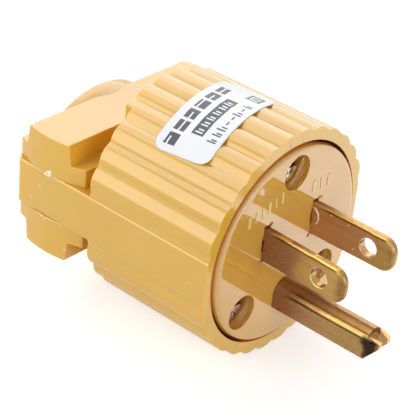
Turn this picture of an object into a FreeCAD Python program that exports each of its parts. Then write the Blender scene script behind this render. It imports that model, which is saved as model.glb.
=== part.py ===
import FreeCAD, Part
import math
import os
import Sketcher

# A three-pin mains plug that can be wired by hand, lying on its ribbed shell.
# The axis of the plug is Y: the pins point to -Y and the cord leaves at +Y. The origin is the
# middle of the face that the pins stand on, and +Z is up, away from the ground pin.
# All sizes are in millimetres.

SIZES = {
    # Shell: a ribbed barrel with a smooth band on each side, which runs on as an arm
    "rim_plane": 0.8,
    "barrel_end": 27.3,
    "step_depth": 1.4,
    "step_half_width": 10.6,
    "crest_radius": 20.8,
    "rib_height": 0.8,
    "rib_radius": 3.7,
    "rib_pitch": 12.3,
    "ribs_per_side": 12,
    "band_setback": 1.05,
    "band_half_height": 4.25,
    "band_edge_bevel": 0.25,
    "arm_end": 45.2,
    "arm_inner": 8.6,
    "arm_rear_round": 1.8,
    "rim_width": 2.3,
    "shell_wall": 3.9,
    "rear_wall": 2.4,
    "cord_entry_radius": 7.6,
    "boss_half_width": 3.4,
    # Face insert: a thick disc with barriers behind it
    "disc_gap": 0.45,
    "disc_round": 1.1,
    "insert_depth": 7.0,
    "barrier_depth": 10.5,
    "barrier_half_gap": 3.9,
    "barrier_wall": 1.2,
    "barrier_top": 8.2,
    "barrier_boss_gap": 0.1,
    # Screws that join the insert to the shell
    "cover_screw_inset": 4.25,
    "cover_screw_lower_angle": 40.0,
    "well_radius": 3.17,
    "well_depth": 3.9,
    "cover_screw_head_radius": 2.75,
    "cover_screw_head_height": 1.7,
    "cover_screw_radius": 1.6,
    "cover_screw_length": 18.5,
    "cover_screw_clearance": 0.2,
    # Blades
    "blade_spacing": 12.7,
    "blade_height": 2.9,
    "blade_width": 6.35,
    "blade_thickness": 1.52,
    "blade_length": 16.9,
    "blade_hole_radius": 2.0,
    "blade_hole_distance": 11.9,
    "blade_tip_round": 2.1,
    "blade_tip_bevel": 0.35,
    "slot_end_relief": 0.3,
    "slot_side_relief": 0.2,
    "slot_side_relief_height": 1.3,
    "slot_relief_reach": 0.35,
    "slot_relief_depth": 0.6,
    "tab_thickness": 1.2,
    "tab_margin": 0.4,
    # Ground pin: sheet folded to a U, round side towards the blades
    "ground_drop": 11.9,
    "ground_half_width": 2.4,
    "ground_leg": 2.6,
    "ground_sheet": 0.9,
    "ground_length": 21.4,
    "ground_tip_run": 2.2,
    "ground_shoulder_drop": 0.9,
    "ground_tip_drop": 1.35,
    "ground_tip_lift": 2.6,
    "ground_tip_narrowing": 0.8,
    "ground_tab_top": 0.6,
    # Terminal screws and their pressure plates
    "terminal_shift": 0.185,
    "terminal_head_radius": 2.8,
    "terminal_head_height": 1.8,
    "terminal_screw_radius": 1.5,
    "plate_half_width": 2.9,
    "plate_thickness": 0.9,
    "ground_terminal_height": -2.6,
    # Cord clamp: two mirrored halves that sit on the arms
    "clamp_front": 29.6,
    "clamp_rear": 45.0,
    "clamp_overhang": 0.15,
    "clamp_outline_centre": 37.5,
    "clamp_plate_top": 7.65,
    "clamp_block_front": 32.8,
    "clamp_block_rear": 42.3,
    "clamp_block_top": 11.4,
    "clamp_draft": 0.45,
    "clamp_hump_top": 11.0,
    "clamp_hump_radius": 16.7,
    "clamp_hump_half_width": 9.6,
    "clamp_tongue_gap": 0.6,
    "clamp_tongue_side": 0.2,
    "cord_radius": 5.5,
    # Clamp screws and the brass inserts that take them
    "clamp_screw_shift": 0.375,
    "clamp_screw_place": 37.8,
    "clamp_screw_radius": 1.6,
    "clamp_screw_clearance": 0.25,
    "clamp_head_radius": 3.0,
    "clamp_head_height": 2.0,
    "clamp_head_sink": 2.3,
    "clamp_insert_radius": 2.7,
    "clamp_insert_height": 4.4,
    "clamp_insert_cover": 0.8,
    # Screw heads
    "slot_width": 0.9,
    "slot_depth": 0.9,
    "cross_width": 0.9,
    "cross_length": 3.4,
    # Label: a thin sheet that follows the ribs on top of the barrel
    "label_thickness": 0.12,
    "label_bridge_depth": 0.35,
    "label_start_angle": 68.0,
    "label_end_angle": 130.0,
    "label_front": 9.6,
    "label_rear": 20.2,
    # How far a cut runs past the surface, and how far one solid starts inside another
    "cut_margin": 1.0,
    "pad_overlap": 0.5,
}

# Sizes that follow from the ones above
DERIVED = {
    "barrel_step_end": "barrel_end + step_depth",
    "groove_radius": "crest_radius - rib_height",
    "band_half_width": "crest_radius - band_setback",
    "recess_radius": "crest_radius - rim_width",
    "disc_radius": "recess_radius - disc_gap",
    "cavity_radius": "crest_radius - shell_wall",
    "cover_screw_circle": "disc_radius - cover_screw_inset",
    "clamp_outline_radius": "band_half_width + clamp_overhang",
    "clamp_screw_across": "(arm_inner + band_half_width) / 2 - clamp_screw_shift",
    "blade_top": "blade_height + blade_width / 2",
    "terminal_room_end": "sqrt(cavity_radius ^ 2 - blade_top ^ 2)",
    "barrier_outside": "barrier_half_gap + barrier_wall",
    "terminal_across": "(barrier_outside + terminal_room_end) / 2 - terminal_shift",
    "label_floor_radius": "crest_radius - label_bridge_depth",
}

doc = FreeCAD.newDocument("grounded_plug")
sheet = doc.addObject("Spreadsheet::Sheet", "sizes")
ENTRIES = [(alias, str(size)) for alias, size in SIZES.items()]
ENTRIES += [(alias, f"={formula}") for alias, formula in DERIVED.items()]
for row, (alias, content) in enumerate(ENTRIES, start=1):
    sheet.set(f"A{row}", alias)
    sheet.set(f"B{row}", content)
    sheet.setAlias(f"B{row}", alias)
doc.recompute()

NODES = []


def number(expression):
    """The value of an expression on the sheet, in millimetres or degrees."""
    return float(sheet.evalExpression(expression.replace("sizes.", "")))


def new_body(name):
    body = doc.addObject("PartDesign::Body", name)
    body.Label = name
    NODES.append(body)
    return body


def new_sketch(body, name, plane, offset):
    """A sketch on one of the body's own origin planes, moved along the plane's normal."""
    sketch = body.newObject("Sketcher::SketchObject", name)
    base = next(f for f in body.Origin.OriginFeatures if f.Role == plane)
    sketch.AttachmentSupport = [(base, "")]
    sketch.MapMode = "FlatFace"
    sketch.setExpression("AttachmentOffset.Base.z", offset)
    return sketch


def cross_sketch(body, name, depth):
    """A sketch across the plug's axis, at a depth behind the face: its axes are X and Z."""
    return new_sketch(body, name, "XZ_Plane", f"-({depth})")


def side_sketch(body, name, across):
    """A sketch seen from the side, at a place along X: its axes are Y and Z."""
    return new_sketch(body, name, "YZ_Plane", across)


def plan_sketch(body, name, height):
    """A sketch seen from above, at a height: its axes are X and Y."""
    return new_sketch(body, name, "XY_Plane", height)


def fix_distance(sketch, kind, geometry, point, expression):
    """Tie one coordinate of a point to an expression; a plain 0 puts the point on the axis."""
    if expression == "0":
        axis = -2 if kind == "DistanceX" else -1
        sketch.addConstraint(Sketcher.Constraint("PointOnObject", geometry, point, axis))
        return
    index = sketch.addConstraint(
        Sketcher.Constraint(kind, -1, 1, geometry, point, number(expression)))
    sketch.setExpression(f"Constraints[{index}]", expression)


def fix_point(sketch, geometry, point, across, up):
    fix_distance(sketch, "DistanceX", geometry, point, across)
    fix_distance(sketch, "DistanceY", geometry, point, up)


def fix_radius(sketch, geometry, expression):
    index = sketch.addConstraint(Sketcher.Constraint("Radius", geometry, number(expression)))
    sketch.setExpression(f"Constraints[{index}]", expression)


def join(sketch, geometry, point, other, other_point):
    sketch.addConstraint(Sketcher.Constraint("Coincident", geometry, point, other, other_point))


def add_polygon(sketch, corners):
    """A closed outline of straight lines; each corner is a pair of expressions."""
    points = [FreeCAD.Vector(number(a), number(b), 0) for a, b in corners]
    count = len(points)
    first = sketch.GeometryCount
    for i in range(count):
        sketch.addGeometry(Part.LineSegment(points[i], points[(i + 1) % count]))
    for i in range(count):
        join(sketch, first + i, 2, first + (i + 1) % count, 1)
    for i, (across, up) in enumerate(corners):
        fix_point(sketch, first + i, 1, across, up)


def add_rectangle(sketch, left, right, bottom, top):
    add_polygon(sketch, [(left, bottom), (right, bottom), (right, top), (left, top)])


def add_circle(sketch, across, up, radius):
    centre = FreeCAD.Vector(number(across), number(up), 0)
    index = sketch.addGeometry(Part.Circle(centre, FreeCAD.Vector(0, 0, 1), number(radius)))
    fix_point(sketch, index, 3, across, up)
    fix_radius(sketch, index, radius)


def add_arc_and_corners(sketch, centre, radius, angles, start, end, corners):
    """An arc closed by straight lines through corners, listed from the arc's end to its start.

    Start and end each name the coordinate that fixes that end of the arc, and its size.
    """
    middle = FreeCAD.Vector(number(centre[0]), number(centre[1]), 0)
    circle = Part.Circle(middle, FreeCAD.Vector(0, 0, 1), number(radius))
    arc = sketch.addGeometry(Part.ArcOfCircle(circle, *(math.radians(a) for a in angles)))
    curve = sketch.Geometry[arc]
    points = [curve.EndPoint]
    points += [FreeCAD.Vector(number(a), number(b), 0) for a, b in corners]
    points += [curve.StartPoint]
    for p, q in zip(points, points[1:]):
        sketch.addGeometry(Part.LineSegment(p, q))
    last = sketch.GeometryCount - 1
    join(sketch, arc, 2, arc + 1, 1)
    for i in range(arc + 1, last):
        join(sketch, i, 2, i + 1, 1)
    join(sketch, last, 2, arc, 1)
    fix_point(sketch, arc, 3, *centre)
    fix_radius(sketch, arc, radius)
    fix_distance(sketch, start[0], arc, 1, start[1])
    fix_distance(sketch, end[0], arc, 2, end[1])
    for i, (across, up) in enumerate(corners):
        fix_point(sketch, arc + 1 + i, 2, across, up)


def extrude(body, kind, name, sketch, length, forward=False):
    """A pad or pocket from the sketch along its normal, or against it.

    The normal of a cross sketch points forward, to -Y, so rearward is against it.
    """
    feature = body.newObject(f"PartDesign::{kind}", name)
    feature.Profile = sketch
    feature.setExpression("Length", length)
    feature.Reversed = (not forward) if kind == "Pad" else forward
    return feature


def extrude_both_ways(body, kind, name, sketch, length):
    feature = body.newObject(f"PartDesign::{kind}", name)
    feature.Profile = sketch
    feature.setExpression("Length", length)
    feature.Midplane = True
    return feature


def turn(body, kind, name, sketch):
    """A revolution or groove about the sketch's own upright axis."""
    feature = body.newObject(f"PartDesign::{kind}", name)
    feature.Profile = sketch
    feature.ReferenceAxis = (sketch, ["V_Axis"])
    feature.Angle = 360
    return feature


def pattern_round(body, name, original, sketch, angle, occurrences):
    """Copies of a feature about the plug's axis; the angle is from the first to the last."""
    feature = body.newObject("PartDesign::PolarPattern", name)
    feature.Originals = [original]
    feature.Axis = (sketch, ["N_Axis"])
    feature.setExpression("Angle", angle)
    feature.setExpression("Occurrences", occurrences)
    body.Tip = feature
    return feature


def dress(body, kind, name, size, test):
    """A fillet or chamfer on every edge of the body so far that passes the test."""
    doc.recompute()
    base = body.Tip
    names = [f"Edge{i}" for i, edge in enumerate(base.Shape.Edges, start=1) if test(edge)]
    if not names:
        raise RuntimeError(f"{body.Label}: {name} found no edge")
    feature = body.newObject(f"PartDesign::{kind}", name)
    feature.Base = (base, names)
    feature.setExpression("Radius" if kind == "Fillet" else "Size", size)
    doc.recompute()
    return feature


def near(a, b):
    return abs(a - b) < 1e-4


# Places that several pieces share
LOWER_WELL_ACROSS = "sizes.cover_screw_circle * cos(sizes.cover_screw_lower_angle * 1 deg)"
LOWER_WELL_UP = "-sizes.cover_screw_circle * sin(sizes.cover_screw_lower_angle * 1 deg)"
COVER_SCREW_PLACES = {
    "top": ("0", "sizes.cover_screw_circle"),
    "left": (f"-({LOWER_WELL_ACROSS})", LOWER_WELL_UP),
    "right": (LOWER_WELL_ACROSS, LOWER_WELL_UP),
}
BLADE_ACROSS = "(sizes.blade_spacing / 2)"
BLADE_BOTTOM = "sizes.blade_height - sizes.blade_width / 2"
BLADE_TOP = "sizes.blade_top"
GROUND_UP = "(sizes.blade_height - sizes.ground_drop)"
GROUND_FOOT = f"{GROUND_UP} - sizes.ground_leg"
TAB_BACK = "(sizes.insert_depth + sizes.tab_thickness)"
TERMINALS = {
    "line": ("-sizes.terminal_across", "sizes.blade_height"),
    "neutral": ("sizes.terminal_across", "sizes.blade_height"),
    "ground": ("0", "sizes.ground_terminal_height"),
}
CLAMP_SCREW_ACROSS = "sizes.clamp_screw_across"
INSERT_FOOT = "(sizes.band_half_height + sizes.clamp_insert_cover)"
HEAD_SEAT = "(sizes.clamp_block_top - sizes.clamp_head_sink)"
FIRST_RIB = "(90 - sizes.rib_pitch * (sizes.ribs_per_side - 1) / 2)"
RIB_SPAN = "sizes.rib_pitch * (sizes.ribs_per_side - 1)"
RIB_CENTRE = "(sizes.crest_radius - sizes.rib_radius)"


def build_housing_shell():
    """The barrel with its shallow ribs, the bands that run on as arms, and the bosses inside."""
    body = new_body("housing_shell")
    sketch = cross_sketch(body, "barrel_outline", "sizes.rim_plane")
    add_circle(sketch, "0", "0", "sizes.groove_radius")
    length = "sizes.barrel_step_end - sizes.rim_plane"
    extrude(body, "Pad", "barrel", sketch, length)

    ribs = cross_sketch(body, "rib_outline", "sizes.rim_plane")
    for side in ("", "-"):
        across = f"{side}{RIB_CENTRE} * cos({FIRST_RIB} * 1 deg)"
        up = f"{side}{RIB_CENTRE} * sin({FIRST_RIB} * 1 deg)"
        add_circle(ribs, across, up, "sizes.rib_radius")
    rib_pair = extrude(body, "Pad", "rib_pair", ribs, length)
    pattern_round(body, "ribs", rib_pair, ribs, RIB_SPAN, "sizes.ribs_per_side")

    flats = cross_sketch(body, "band_outline", "sizes.rim_plane - sizes.cut_margin")
    outside = "(sizes.crest_radius + sizes.cut_margin)"
    for side in ("", "-"):
        add_rectangle(flats, f"{side}sizes.band_half_width", f"{side}{outside}",
                      "-sizes.band_half_height", "sizes.band_half_height")
    extrude(body, "Pocket", "band_flats", flats, "sizes.barrel_step_end + sizes.cut_margin")

    step = cross_sketch(body, "step_outline", "sizes.barrel_end")
    for side in ("", "-"):
        add_rectangle(step, f"{side}sizes.step_half_width", f"{side}{outside}",
                      f"-{outside}", outside)
    extrude(body, "Pocket", "step_sides", step, "sizes.barrel_step_end")

    bands = cross_sketch(body, "arm_outline", "sizes.rim_plane")
    shoulder = "sizes.band_half_width - sizes.band_edge_bevel"
    side_height = "(sizes.band_half_height - sizes.band_edge_bevel)"
    for side in ("", "-"):
        add_polygon(bands, [
            (f"{side}sizes.arm_inner", "-sizes.band_half_height"),
            (f"{side}({shoulder})", "-sizes.band_half_height"),
            (f"{side}sizes.band_half_width", f"-{side_height}"),
            (f"{side}sizes.band_half_width", side_height),
            (f"{side}({shoulder})", "sizes.band_half_height"),
            (f"{side}sizes.arm_inner", "sizes.band_half_height")])
    extrude(body, "Pad", "arms", bands, "sizes.arm_end - sizes.rim_plane")

    corners = plan_sketch(body, "arm_corner_outline", "0")
    corner_across = "(sizes.band_half_width - sizes.arm_rear_round)"
    corner_depth = "(sizes.arm_end - sizes.arm_rear_round)"
    behind = "(sizes.arm_end + sizes.cut_margin)"
    add_arc_and_corners(
        corners, (corner_across, corner_depth), "sizes.arm_rear_round", (0, 90),
        ("DistanceY", corner_depth), ("DistanceX", corner_across),
        [(corner_across, behind), (outside, behind), (outside, corner_depth)])
    add_arc_and_corners(
        corners, (f"-{corner_across}", corner_depth), "sizes.arm_rear_round", (90, 180),
        ("DistanceX", f"-{corner_across}"), ("DistanceY", corner_depth),
        [(f"-{outside}", corner_depth), (f"-{outside}", behind), (f"-{corner_across}", behind)])
    extrude_both_ways(body, "Pocket", "arm_corners", corners, "4 * sizes.band_half_height")

    recess = cross_sketch(body, "recess_outline", "sizes.rim_plane")
    add_circle(recess, "0", "0", "sizes.recess_radius")
    extrude(body, "Pocket", "recess", recess, "sizes.insert_depth - sizes.rim_plane")
    cavity = cross_sketch(body, "cavity_outline", "sizes.insert_depth")
    add_circle(cavity, "0", "0", "sizes.cavity_radius")
    extrude(body, "Pocket", "cavity", cavity,
            "sizes.barrel_end - sizes.rear_wall - sizes.insert_depth")
    entry = cross_sketch(body, "cord_entry_outline",
                         "sizes.barrel_end - sizes.rear_wall - sizes.cut_margin")
    add_circle(entry, "0", "0", "sizes.cord_entry_radius")
    extrude(body, "Pocket", "cord_entry", entry,
            "sizes.rear_wall + sizes.step_depth + 2 * sizes.cut_margin")

    bosses = cross_sketch(body, "boss_outline", "sizes.insert_depth")
    pilots = cross_sketch(body, "pilot_outline", "sizes.insert_depth")
    half = "sizes.boss_half_width"
    for across, up in COVER_SCREW_PLACES.values():
        add_rectangle(bosses, f"{across} - {half}", f"{across} + {half}",
                      f"{up} - {half}", f"{up} + {half}")
        add_circle(pilots, across, up, "sizes.cover_screw_radius")
    extrude(body, "Pad", "bosses", bosses,
            "sizes.barrel_end - sizes.rear_wall - sizes.insert_depth + sizes.pad_overlap")
    extrude(body, "Pocket", "pilot_holes", pilots,
            "sizes.well_depth + sizes.cover_screw_length - sizes.insert_depth"
            " + sizes.pad_overlap")

    holes = plan_sketch(body, "clamp_screw_holes_outline", "0")
    for side in ("", "-"):
        add_circle(holes, f"{side}{CLAMP_SCREW_ACROSS}", "sizes.clamp_screw_place",
                   "sizes.clamp_screw_radius + sizes.clamp_screw_clearance")
    extrude_both_ways(body, "Pocket", "clamp_screw_holes", holes, "4 * sizes.band_half_height")
    return body


def build_slot_reliefs(body):
    """Shallow notches in the face at the ends and in the middle of each blade's sides."""
    for side, name in (("-", "line"), ("", "neutral")):
        middle = f"{side}{BLADE_ACROSS}"
        left = f"{middle} - sizes.blade_thickness / 2"
        right = f"{middle} + sizes.blade_thickness / 2"
        height = "sizes.slot_side_relief_height"
        reliefs = {
            "head": (left, f"{right} + sizes.slot_relief_reach",
                     BLADE_TOP, f"{BLADE_TOP} + sizes.slot_end_relief"),
            "foot": (f"{left} - sizes.slot_relief_reach", right,
                     f"{BLADE_BOTTOM} - sizes.slot_end_relief", BLADE_BOTTOM),
            "sides": (f"{left} - sizes.slot_side_relief", f"{right} + sizes.slot_side_relief",
                      f"sizes.blade_height - {height}", f"sizes.blade_height + {height}")}
        for place, limits in reliefs.items():
            outline = cross_sketch(body, f"{name}_{place}_relief_outline", "0")
            add_rectangle(outline, *limits)
            extrude(body, "Pocket", f"{name}_{place}_relief", outline,
                    "sizes.slot_relief_depth")


def build_face_insert():
    """The disc that carries the pins, with screw wells in front and barriers behind."""
    body = new_body("face_insert")
    disc = plan_sketch(body, "disc_half", "0")
    rounding = [("0", "0")]
    for angle in (0, 45, 90):
        rounding.append((f"sizes.disc_radius - sizes.disc_round * (1 - sin({angle} deg))",
                         f"sizes.disc_round * (1 - cos({angle} deg))" if angle else "0"))
    back = "sizes.insert_depth"
    add_polygon(disc, rounding + [("sizes.disc_radius", back), ("0", back)])
    turn(body, "Revolution", "disc", disc)

    barriers = cross_sketch(body, "barrier_outline", "sizes.insert_depth")
    for side in ("", "-"):
        add_rectangle(barriers, f"{side}sizes.barrier_half_gap", f"{side}sizes.barrier_outside",
                      f"{LOWER_WELL_UP} + sizes.boss_half_width + sizes.barrier_boss_gap",
                      "sizes.barrier_top")
    extrude(body, "Pad", "barriers", barriers, "sizes.barrier_depth")

    wells = cross_sketch(body, "well_outline", "0")
    shanks = cross_sketch(body, "shank_hole_outline", "0")
    for across, up in COVER_SCREW_PLACES.values():
        add_circle(wells, across, up, "sizes.well_radius")
        add_circle(shanks, across, up, "sizes.cover_screw_radius + sizes.cover_screw_clearance")
    extrude(body, "Pocket", "wells", wells, "sizes.well_depth")
    extrude(body, "Pocket", "shank_holes", shanks, "sizes.insert_depth + sizes.cut_margin")

    slots = cross_sketch(body, "blade_slot_outline", "0")
    for side in ("", "-"):
        add_rectangle(slots, f"{side}({BLADE_ACROSS} - sizes.blade_thickness / 2)",
                      f"{side}({BLADE_ACROSS} + sizes.blade_thickness / 2)",
                      BLADE_BOTTOM, BLADE_TOP)
    extrude(body, "Pocket", "blade_slots", slots, "sizes.insert_depth + sizes.cut_margin")
    build_slot_reliefs(body)

    crown = cross_sketch(body, "ground_crown_outline", "0")
    add_circle(crown, "0", GROUND_UP, "sizes.ground_half_width")
    extrude(body, "Pocket", "ground_crown", crown, "sizes.insert_depth + sizes.cut_margin")
    legs = cross_sketch(body, "ground_legs_outline", "0")
    add_rectangle(legs, "-sizes.ground_half_width", "sizes.ground_half_width",
                  GROUND_FOOT, GROUND_UP)
    extrude(body, "Pocket", "ground_legs", legs, "sizes.insert_depth + sizes.cut_margin")
    core_round = cross_sketch(body, "ground_core_round_outline", "0")
    add_circle(core_round, "0", GROUND_UP, "sizes.ground_half_width - sizes.ground_sheet")
    core = cross_sketch(body, "ground_core_outline", "0")
    add_rectangle(core, "-(sizes.ground_half_width - sizes.ground_sheet)",
                  "sizes.ground_half_width - sizes.ground_sheet",
                  f"{GROUND_FOOT} - sizes.pad_overlap", GROUND_UP)
    extrude(body, "Pad", "ground_core", core, "sizes.insert_depth")
    extrude(body, "Pad", "ground_core_round", core_round, "sizes.insert_depth")
    return body


def build_blade(name, side):
    """A flat blade with a rounded, bevelled tip; inside it turns outwards into a tab."""
    body = new_body(f"{name}_blade")
    middle = f"{side}{BLADE_ACROSS}"
    profile = side_sketch(body, f"{name}_blade_outline", middle)
    add_rectangle(profile, "-sizes.blade_length", TAB_BACK, BLADE_BOTTOM, BLADE_TOP)
    extrude_both_ways(body, "Pad", f"{name}_strip", profile, "sizes.blade_thickness")

    def is_tip_corner(edge):
        box = edge.BoundBox
        return near(box.YMax, -number("sizes.blade_length")) and near(box.ZLength, 0)

    dress(body, "Fillet", f"{name}_tip_round", "sizes.blade_tip_round", is_tip_corner)

    def is_tip_face_edge(edge):
        box = edge.BoundBox
        limit = number("sizes.blade_tip_round - sizes.blade_length")
        return near(box.XLength, 0) and box.YMax < limit + 1e-4

    dress(body, "Chamfer", f"{name}_tip_bevel", "sizes.blade_tip_bevel", is_tip_face_edge)
    hole = side_sketch(body, f"{name}_hole_outline", middle)
    add_circle(hole, "-sizes.blade_hole_distance", "sizes.blade_height",
               "sizes.blade_hole_radius")
    extrude_both_ways(body, "Pocket", f"{name}_hole", hole, "2 * sizes.blade_thickness")

    tab = cross_sketch(body, f"{name}_tab_outline", "sizes.insert_depth")
    tab_end = "(sizes.terminal_across + sizes.plate_half_width + sizes.tab_margin)"
    add_rectangle(tab, middle, f"{side}{tab_end}", BLADE_BOTTOM, BLADE_TOP)
    extrude(body, "Pad", f"{name}_tab", tab, "sizes.tab_thickness")
    thread = cross_sketch(body, f"{name}_thread_outline", "sizes.insert_depth")
    add_circle(thread, *TERMINALS[name], "sizes.terminal_screw_radius")
    extrude(body, "Pocket", f"{name}_thread", thread, "sizes.tab_thickness")
    return body


def build_ground_pin():
    """Sheet folded to a U and nosed at the tip; inside it turns up into a tab."""
    body = new_body("ground_pin")
    tip = "-sizes.ground_length"
    whole = "sizes.ground_length + sizes.insert_depth"
    legs = cross_sketch(body, "legs_outline", tip)
    add_rectangle(legs, "-sizes.ground_half_width", "sizes.ground_half_width",
                  GROUND_FOOT, GROUND_UP)
    extrude(body, "Pad", "legs", legs, whole)
    crown = cross_sketch(body, "crown_outline", tip)
    add_circle(crown, "0", GROUND_UP, "sizes.ground_half_width")
    extrude(body, "Pad", "crown", crown, whole)

    inside = "(sizes.ground_half_width - sizes.ground_sheet)"
    run = f"{tip} + sizes.ground_tip_run"
    behind_run = "sizes.ground_length - sizes.ground_tip_run + sizes.insert_depth"
    hollow = cross_sketch(body, "hollow_outline", run)
    add_rectangle(hollow, f"-{inside}", inside, f"{GROUND_FOOT} - sizes.cut_margin", GROUND_UP)
    extrude(body, "Pocket", "hollow", hollow, behind_run)
    hollow_top = cross_sketch(body, "hollow_top_outline", run)
    add_circle(hollow_top, "0", GROUND_UP, inside)
    extrude(body, "Pocket", "hollow_top", hollow_top, behind_run)

    beyond = f"{tip} - sizes.cut_margin"
    crown_top = f"{GROUND_UP} + sizes.ground_half_width"
    clear_top = f"{crown_top} + sizes.cut_margin"
    clear_foot = f"{GROUND_FOOT} - sizes.cut_margin"
    tip_top = f"{crown_top} - sizes.ground_tip_drop"
    tip_foot = f"{GROUND_FOOT} + sizes.ground_tip_lift"
    nose = side_sketch(body, "nose_outline", "0")
    add_polygon(nose, [(tip, tip_top), (run, f"{crown_top} - sizes.ground_shoulder_drop"),
                       (run, clear_top), (beyond, clear_top), (beyond, tip_top)])
    add_polygon(nose, [(tip, tip_foot), (beyond, tip_foot), (beyond, clear_foot),
                       (run, clear_foot), (run, GROUND_FOOT)])
    extrude_both_ways(body, "Pocket", "nose", nose, "4 * sizes.ground_half_width")
    gap = plan_sketch(body, "tip_gap_outline", GROUND_UP)
    tip_inside = f"({inside} - sizes.ground_tip_narrowing)"
    add_polygon(gap, [(f"-{tip_inside}", tip), (f"-{tip_inside}", beyond),
                      (tip_inside, beyond), (tip_inside, tip), (inside, run),
                      (f"-{inside}", run)])
    extrude_both_ways(body, "Pocket", "tip_gap", gap, "4 * sizes.ground_half_width")
    cheeks = plan_sketch(body, "cheek_outline", GROUND_UP)
    for side in ("", "-"):
        flank = f"{side}sizes.ground_half_width"
        outside = f"{side}(sizes.ground_half_width + sizes.cut_margin)"
        add_polygon(cheeks, [
            (f"{side}(sizes.ground_half_width - sizes.ground_tip_narrowing)", tip),
            (flank, run), (outside, run), (outside, beyond),
            (f"{side}(sizes.ground_half_width - sizes.ground_tip_narrowing)", beyond)])
    extrude_both_ways(body, "Pocket", "cheeks", cheeks, "4 * sizes.ground_half_width")

    tab = cross_sketch(body, "tab_outline", "sizes.insert_depth")
    add_rectangle(tab, "-sizes.plate_half_width", "sizes.plate_half_width",
                  GROUND_FOOT, "sizes.ground_tab_top")
    extrude(body, "Pad", "tab", tab, "sizes.tab_thickness")
    thread = cross_sketch(body, "thread_outline", "sizes.insert_depth")
    add_circle(thread, *TERMINALS["ground"], "sizes.terminal_screw_radius")
    extrude(body, "Pocket", "thread", thread, "sizes.tab_thickness")
    return body


def build_pressure_plate(name):
    """The square plate that a terminal screw presses on the wire."""
    body = new_body(f"{name}_pressure_plate")
    across, up = TERMINALS[name]
    outline = cross_sketch(body, f"{name}_plate_outline", TAB_BACK)
    half = "sizes.plate_half_width"
    add_rectangle(outline, f"{across} - {half}", f"{across} + {half}",
                  f"{up} - {half}", f"{up} + {half}")
    extrude(body, "Pad", f"{name}_plate", outline, "sizes.plate_thickness")
    hole = cross_sketch(body, f"{name}_plate_hole_outline", TAB_BACK)
    add_circle(hole, across, up, "sizes.terminal_screw_radius")
    extrude(body, "Pocket", f"{name}_plate_hole", hole, "sizes.plate_thickness")
    return body


def build_screw(name, head_radius, head_height, shank_radius, shank_length, position, turned,
                crossed=True):
    """A slotted screw, with or without a short cross cut, made upright and laid in its place.

    Its seat is at the local origin, its head above that and its shank below.
    """
    body = new_body(name)
    half = new_sketch(body, f"{name}_half", "XZ_Plane", "0")
    add_polygon(half, [
        ("0", f"-({shank_length})"), (shank_radius, f"-({shank_length})"), (shank_radius, "0"),
        (head_radius, "0"), (head_radius, head_height), ("0", head_height)])
    turn(body, "Revolution", f"{name}_form", half)
    slot = new_sketch(body, f"{name}_slot_outline", "XY_Plane", head_height)
    add_rectangle(slot, f"-{head_radius} - sizes.cut_margin",
                  f"{head_radius} + sizes.cut_margin",
                  "-sizes.slot_width / 2", "sizes.slot_width / 2")
    extrude(body, "Pocket", f"{name}_slot", slot, "sizes.slot_depth")
    if crossed:
        cross = new_sketch(body, f"{name}_cross_outline", "XY_Plane", head_height)
        add_rectangle(cross, "-sizes.cross_width / 2", "sizes.cross_width / 2",
                      "-sizes.cross_length / 2", "sizes.cross_length / 2")
        extrude(body, "Pocket", f"{name}_cross", cross, "sizes.slot_depth")
    body.Placement = FreeCAD.Placement(FreeCAD.Vector(0, 0, 0), turned)
    for axis, expression in zip("xyz", position):
        body.setExpression(f"Placement.Base.{axis}", expression)
    return body


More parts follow.
